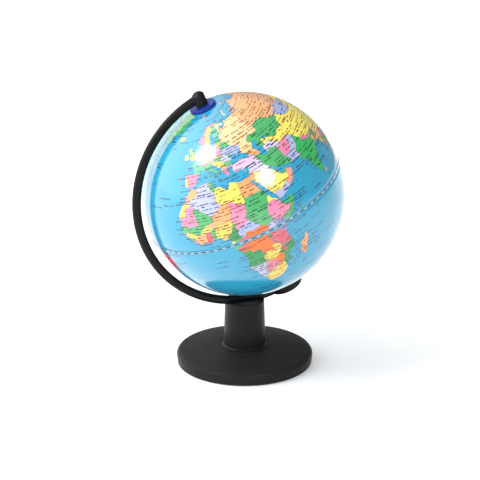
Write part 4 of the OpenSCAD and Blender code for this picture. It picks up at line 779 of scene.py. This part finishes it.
def print_finish(name, colour):
    m = new_material(name, colour, 0.16, IOR=1.5, Coat_Weight=1.0, Coat_Roughness=0.11)
    rough_noise(m, 140.0, 0.14, 0.24)
    grain(m, 520.0, 0.00002, 0.25)
    return m


def zipped(edge, ring, lons, around):
    """Triangles that close the gap between the print's edge and a ring of its inner face."""
    out = []
    i = j = 0
    n, m = len(edge), len(ring)
    while i < n or j < m:
        next_i = lons[edge[(i + 1) % n]] + (360 if i + 1 >= n else 0)
        next_j = -180 + 360 * (j + 1) / around
        if j >= m or (i < n and next_i <= next_j):
            out.append([edge[i % n], edge[(i + 1) % n], ring[j % m]])
            i += 1
        else:
            out.append([edge[i % n], ring[(j + 1) % m], ring[j % m]])
            j += 1
    return out


def map_piece(name, points, faces, north):
    """A closed skin of printed paper on half of the ball, with a colour slot for each ink."""
    order, verts, index = [], [], {}

    def corner(p, r):
        lon, lat = p
        if lon > 180 - 1e-6:
            lon = -180.0
        key = (round(lon, 5), round(lat, 5), r)
        if key not in index:
            index[key] = len(verts)
            verts.append(to_row(on_sphere(lon, lat, r)))
        return index[key]

    tris, slots, sides = [], [], {}
    for tri, ink, is_north in faces:
        if is_north != north:
            continue
        ids = [corner(points[i], GLOBE_R) for i in tri]
        if len(set(ids)) < 3:
            continue
        a, b, c = (verts[i] - CENTRE for i in ids)
        if (b - a).cross(c - a).dot(a + b + c) < 0:
            ids.reverse()
        if ink not in order:
            order.append(ink)
        tris.append(ids)
        slots.append(order.index(ink))
    order.append("paper")
    for ids in tris:
        for a, b in zip(ids, ids[1:] + ids[:1]):
            sides[(a, b)] = 1
    rim = [a for a, b in sides if (b, a) not in sides]
    lons = {i: lon for (lon, lat, r), i in index.items()}
    lats = {i: abs(lat) for (lon, lat, r), i in index.items()}
    # Inner face: an even grid of rings from the equator to the pole's hole
    end_lat = TOP_LAT if north else -TOP_LAT
    rings, around = 36, 144
    grid = []
    for j in range(rings + 1):
        ring = []
        for i in range(around):
            ring.append(len(verts))
            lon = -180 + 360 * i / around
            verts.append(to_row(on_sphere(lon, end_lat * j / rings, GLOBE_R - MAP_T)))
        grid.append(ring)
    inner = []
    for j in range(rings):
        for i in range(around):
            k = (i + 1) % around
            quad = [grid[j][i], grid[j + 1][i], grid[j + 1][k], grid[j][k]]
            inner.append(quad if north else quad[::-1])
    walls = []
    for at, ring in ((0, grid[0]), (TOP_LAT, grid[-1])):
        edge = sorted({i for i in rim if abs(lats[i] - at) < 0.01}, key=lambda i: lons[i])
        walls += zipped(edge, ring, lons, around)
    mesh = bpy.data.meshes.new(name)
    mesh.from_pydata(verts, [], tris + inner + walls)
    mesh.polygons.foreach_set("material_index", slots + [len(order) - 1] * (len(inner) + len(walls)))
    smooth = [True] * (len(tris) + len(inner)) + [False] * len(walls)
    mesh.polygons.foreach_set("use_smooth", smooth)
    for ink in order:
        mesh.materials.append(PRINTS[ink])
    mesh.update()
    tidy = bmesh.new()
    tidy.from_mesh(mesh)
    bmesh.ops.recalc_face_normals(tidy, faces=tidy.faces)
    tidy.to_mesh(mesh)
    tidy.free()
    o = bpy.data.objects.new(name, mesh)
    bpy.context.scene.collection.objects.link(o)
    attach(o, "globe")
    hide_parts("north_map" if north else "south_map")


PRINTS = {ink: print_finish("print_" + ink, rgb(*c)) for ink, c in INKS.items()}
points, faces = build_map()
map_piece("north_print", points, faces, True)
map_piece("south_print", points, faces, False)

# ---------------------------------------------------------------- equator tape
# Thickness and width of the tape, in metres
TAPE_T = 0.00016
TAPE_W = 0.0032
TAPE_LOOKS = [
    print_finish("tape_ground", rgb(70, 168, 204)),
    print_finish("tape_dark", rgb(44, 40, 66)),
    print_finish("tape_pale", rgb(178, 192, 190)),
]


def tape_piece():
    """The graduated band along the equator: a dash every five degrees between two thin rules."""
    lo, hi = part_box("equator_tape")
    r_out = (hi.y - lo.y) / 2
    r_in = r_out - TAPE_T
    # Edges of the dark rules and of the dashes between them, across the tape
    marks = [k * TAPE_W / 2 for k in (-1, -0.42, -0.3, 0.3, 0.42, 1)]
    n = 360
    verts, polys, slots = [], [], []
    for i in range(n):
        a = math.radians(i * 360 / n + LON_TURN)
        for z in marks:
            verts.append(to_row((r_out * math.cos(a), r_out * math.sin(a), z)))
        for z in (marks[-1], marks[0]):
            verts.append(to_row((r_in * math.cos(a), r_in * math.sin(a), z)))
    k = len(marks) + 2
    ground, dark, pale = 0, 1, 2
    for i in range(n):
        a, b = i * k, (i + 1) % n * k
        dash = dark if i % 5 < 3 else pale
        for j in range(k):
            j2 = (j + 1) % k
            polys.append([a + j, b + j, b + j2, a + j2])
            slots.append({1: dark, 2: dash, 3: dark}.get(j, ground))
    mesh = bpy.data.meshes.new("equator_band")
    mesh.from_pydata(verts, [], polys)
    mesh.polygons.foreach_set("material_index", slots)
    for m in TAPE_LOOKS:
        mesh.materials.append(m)
    mesh.update()
    o = bpy.data.objects.new("equator_band", mesh)
    bpy.context.scene.collection.objects.link(o)
    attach(o, "globe")
    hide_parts("equator_tape")


tape_piece()

# ---------------------------------------------------------------- floor, light and camera
scene = bpy.context.scene

FLOOR = new_material("studio_floor", (0.92, 0.92, 0.92, 1), 0.6)
FLOOR.node_tree.nodes["Principled BSDF"].inputs["Emission Color"].default_value = (1, 1, 1, 1)
# Painted light: the floor's white emission grows from front to back, standing in for a floor lit from
# behind
depth = node(FLOOR, "ShaderNodeSeparateXYZ")
backlight_glow = node(FLOOR, "ShaderNodeMapRange", From_Min=-0.05, From_Max=0.9, To_Min=0.17, To_Max=0.8)
link(FLOOR, coords(FLOOR), "Object", depth, 0)
link(FLOOR, depth, "Y", backlight_glow, "Value")
link(FLOOR, backlight_glow, "Result", FLOOR.node_tree.nodes["Principled BSDF"], "Emission Strength")
reach = 15.0
mesh = bpy.data.meshes.new("floor")
corners = [(-reach, -reach, 0), (reach, -reach, 0), (reach, reach, 0), (-reach, reach, 0)]
mesh.from_pydata(corners, [], [(0, 1, 2, 3)])
mesh.materials.append(FLOOR)
floor = bpy.data.objects.new("floor", mesh)
scene.collection.objects.link(floor)


def area_light(name, direction, distance, size, power):
    light = bpy.data.lights.new(name, "AREA")
    light.shape = "DISK"
    light.size = size
    light.energy = power
    o = bpy.data.objects.new(name, light)
    d = Vector(direction).normalized()
    o.location = CENTRE + d * distance
    o.rotation_euler = d.to_track_quat("Z", "Y").to_euler()
    scene.collection.objects.link(o)


area_light("key", (-0.669, -0.032, 0.738), 1.7, 0.68, 10.5)
area_light("front", (0.108, -0.838, 0.535), 1.8, 0.62, 11.5)

# Soft surroundings, brighter to the left, behind and a little above
world = bpy.data.worlds.new("studio")
world.use_nodes = True
tree = world.node_tree
where = tree.nodes.new("ShaderNodeTexCoord")
side = tree.nodes.new("ShaderNodeVectorMath")
side.operation = "DOT_PRODUCT"
side.inputs[1].default_value = Vector((-0.85, 0.45, 0.3)).normalized()
fade = tree.nodes.new("ShaderNodeMapRange")
fade.interpolation_type = "SMOOTHSTEP"
fade.inputs["From Min"].default_value = 0.1
fade.inputs["From Max"].default_value = 1.0
fade.inputs["To Min"].default_value = 0.3
fade.inputs["To Max"].default_value = 2.4
tree.links.new(where.outputs["Generated"], side.inputs[0])
tree.links.new(side.outputs["Value"], fade.inputs["Value"])
tree.links.new(fade.outputs["Result"], tree.nodes["Background"].inputs["Strength"])
tree.nodes["Background"].inputs["Color"].default_value = (1, 1, 1, 1)
scene.world = world
scene.view_settings.view_transform = "Standard"

camera = bpy.data.cameras.new("camera")
camera.lens = 131.2
camera.sensor_width = 36
camera.shift_x = -0.00975
view = bpy.data.objects.new("camera", camera)
view.location = (-0.6054, -1.5176, 0.6821)
view.rotation_euler = (math.radians(71.26), 0, math.radians(-21.75))
scene.collection.objects.link(view)
scene.camera = view
